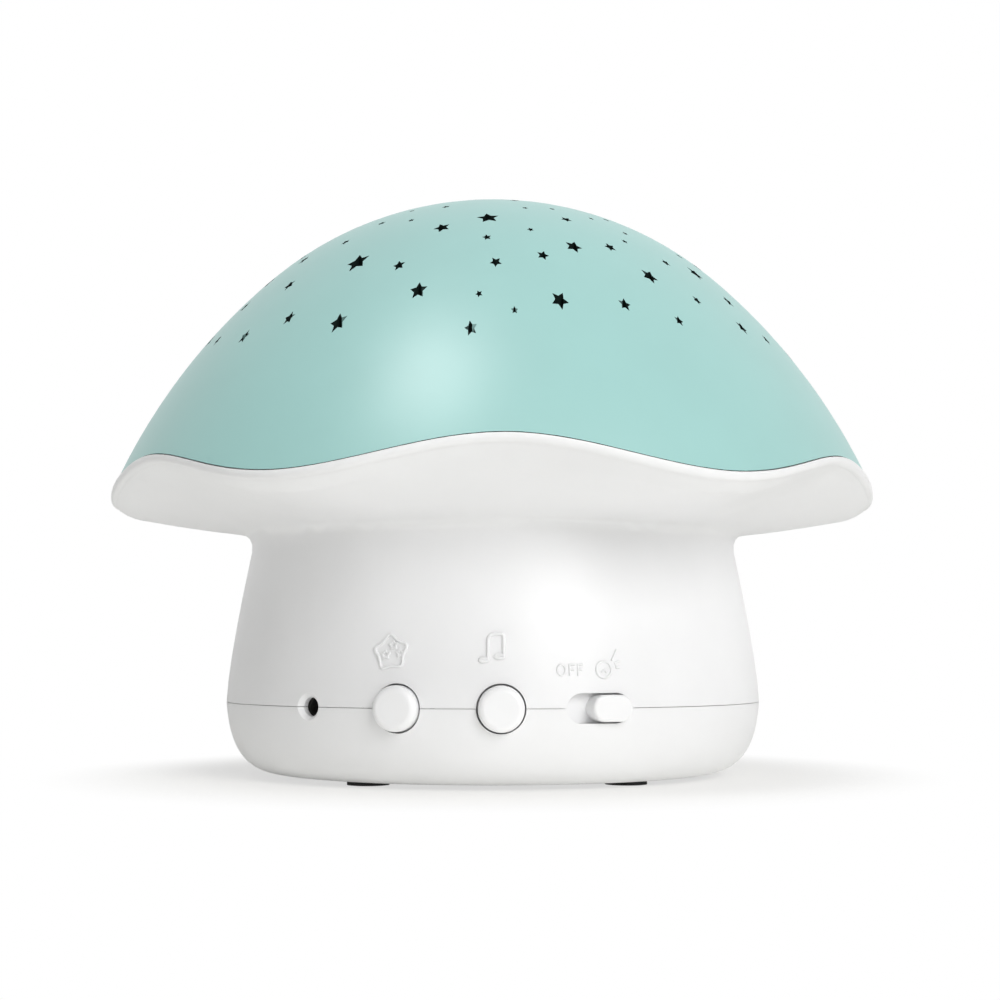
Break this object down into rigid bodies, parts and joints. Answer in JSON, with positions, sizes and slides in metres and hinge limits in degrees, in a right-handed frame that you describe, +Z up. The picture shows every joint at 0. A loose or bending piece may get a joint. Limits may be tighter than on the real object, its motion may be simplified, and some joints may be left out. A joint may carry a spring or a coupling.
{
  "type": "star night light projector",
  "caption": "Mushroom-shaped night light: teal dome with star-shaped holes on a white wavy-rimmed body with push buttons, a slide switch and a battery bay.",
  "frame": {"origin": "on the floor under the middle of the object", "axes": "+X to the right of the controls, +Y to the back, +Z up; the controls face -Y"},
  "size_m": [0.1666, 0.1614, 0.1256],
  "materials": {
    "dome_plastic": "satin",
    "white_plastic": "satin",
    "button_plastic": "satin",
    "black_plastic": "matte",
    "foot_rubber": "matte",
    "screw_steel": "satin",
    "switch_steel": "satin",
    "nickel_contact": "polished",
    "cell_jacket": "satin",
    "board_laminate": "satin",
    "capacitor_can": "satin",
    "led_lens": "gloss",
    "speaker_steel": "satin",
    "cone_paper": "matte",
    "lead_white": "satin",
    "lead_red": "satin",
    "lead_black": "satin"
  },
  "bodies": {
    "housing": {"star_dome": "dome_plastic", "upper_body": "white_plastic", "base_shell": "white_plastic", "rubber_feet": "foot_rubber", "case_screws": "screw_steel", "aa_cell_front": "cell_jacket", "aa_cell_middle": "cell_jacket", "aa_cell_rear": "cell_jacket", "contact_plates": "nickel_contact", "contact_springs": "nickel_contact", "light_switch_body": "black_plastic", "music_switch_body": "black_plastic", "slide_switch_body": "switch_steel", "dc_jack": "black_plastic", "dc_jack_pin": "nickel_contact", "control_board": "board_laminate", "board_screws": "screw_steel", "control_chip": "black_plastic", "capacitors": "capacitor_can", "light_deck": "white_plastic", "deck_screws": "screw_steel", "led_holder": "white_plastic", "led_board": "board_laminate", "leds": "led_lens", "led_shade": "black_plastic", "speaker_frame": "speaker_steel", "speaker_cone": "cone_paper", "speaker_magnet": "speaker_steel", "speaker_clamp": "white_plastic", "speaker_screws": "screw_steel", "led_leads": "lead_white", "speaker_leads": "lead_white", "battery_lead_red": "lead_red", "battery_lead_black": "lead_black"},
    "light_key": {"light_button": "button_plastic", "light_switch_plunger": "black_plastic"},
    "music_key": {"music_button": "button_plastic", "music_switch_plunger": "black_plastic"},
    "mode_slider": {"slide_knob": "button_plastic", "slide_lever": "black_plastic"},
    "battery_hatch": {"battery_door": "white_plastic", "door_screw": "screw_steel"}
  },
  "joints": [
    {"name": "light_button_press", "type": "slide", "parent": "housing", "child": "light_key", "axis": [0.342, 0.9397, 0], "range_m": [0, 0.0008], "stiffness_N_per_m": 2000},
    {"name": "music_button_press", "type": "slide", "parent": "housing", "child": "music_key", "axis": [0, 1, 0], "range_m": [0, 0.0008], "stiffness_N_per_m": 2000},
    {"name": "mode_slide", "type": "slide", "parent": "housing", "child": "mode_slider", "axis": [-0.9455, -0.3256, 0], "range_m": [0, 0.0045]},
    {"name": "battery_door_hinge", "type": "hinge", "parent": "housing", "child": "battery_hatch", "pos_m": [0, 0.025, 0.0008], "axis": [1, 0, 0], "range_deg": [0, 75]}
  ]
}
